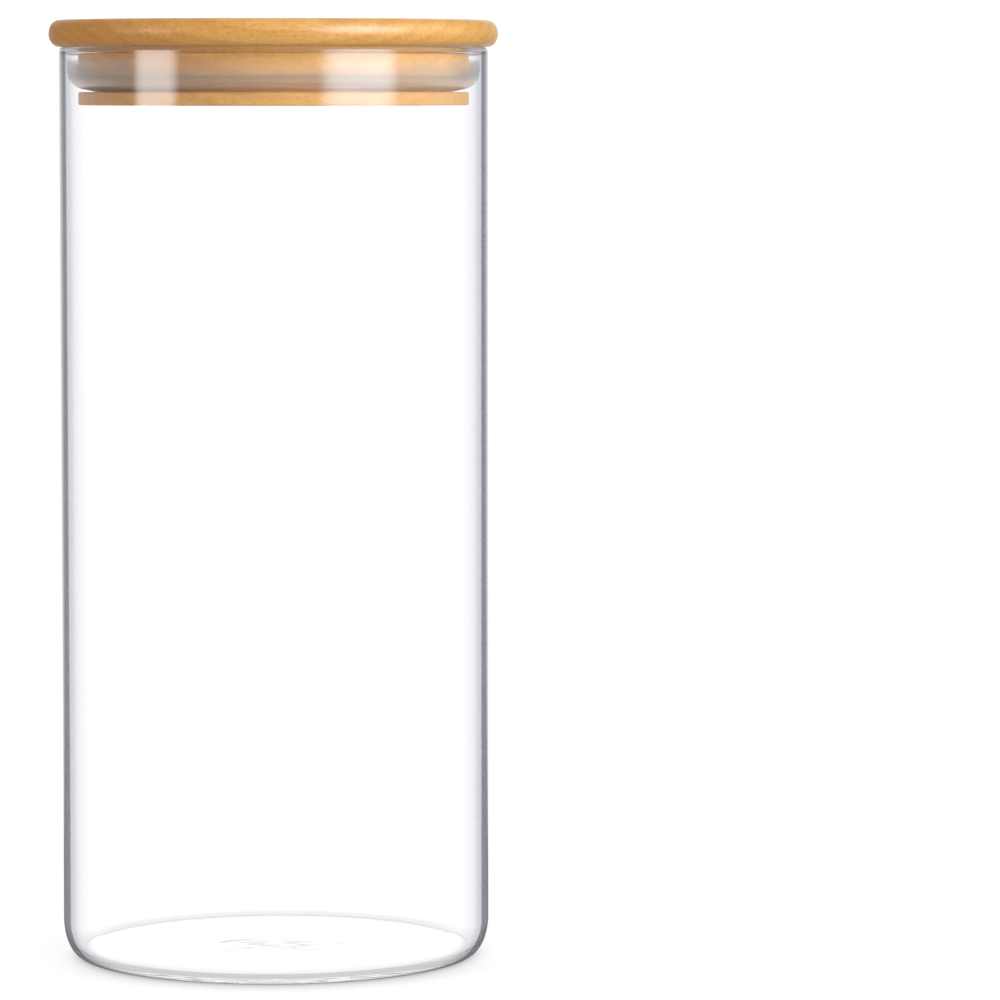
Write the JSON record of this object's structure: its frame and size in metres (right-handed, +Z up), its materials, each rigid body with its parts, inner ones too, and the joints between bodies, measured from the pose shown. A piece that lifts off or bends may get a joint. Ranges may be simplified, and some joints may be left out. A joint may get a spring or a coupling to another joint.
{
  "type": "lidded glass canister",
  "caption": "Tall straight-sided clear glass storage canister with a round-edged wooden lid, whose plug carries a soft silicone lip ring that grips and seals the mouth.",
  "frame": {"origin": "middle of the base, at the height of the surface that the jar stands on", "axes": "+Z up along the axis of the jar, through the lid; X and Y are alike, because every piece is turned about Z"},
  "size_m": [0.1046, 0.1046, 0.2192],
  "materials": {
    "clear_glass": "clear, polished borosilicate",
    "turned_wood": "satin oiled, fine honey-coloured grain",
    "silicone": "milky, see-through, soft satin"
  },
  "bodies": {
    "jar": {"glass_jar": "clear_glass"},
    "seal": {"seal_ring": "silicone"},
    "lid": {"wooden_lid": "turned_wood"}
  },
  "joints": [
    {"name": "lid_lift", "type": "slide", "parent": "jar", "child": "seal", "axis": [0, 0, 1], "range_m": [0, 0.1]},
    {"name": "lid_twist", "type": "hinge", "parent": "seal", "child": "lid", "pos_m": [0, 0, 0.2044], "axis": [0, 0, 1], "continuous": true}
  ]
}
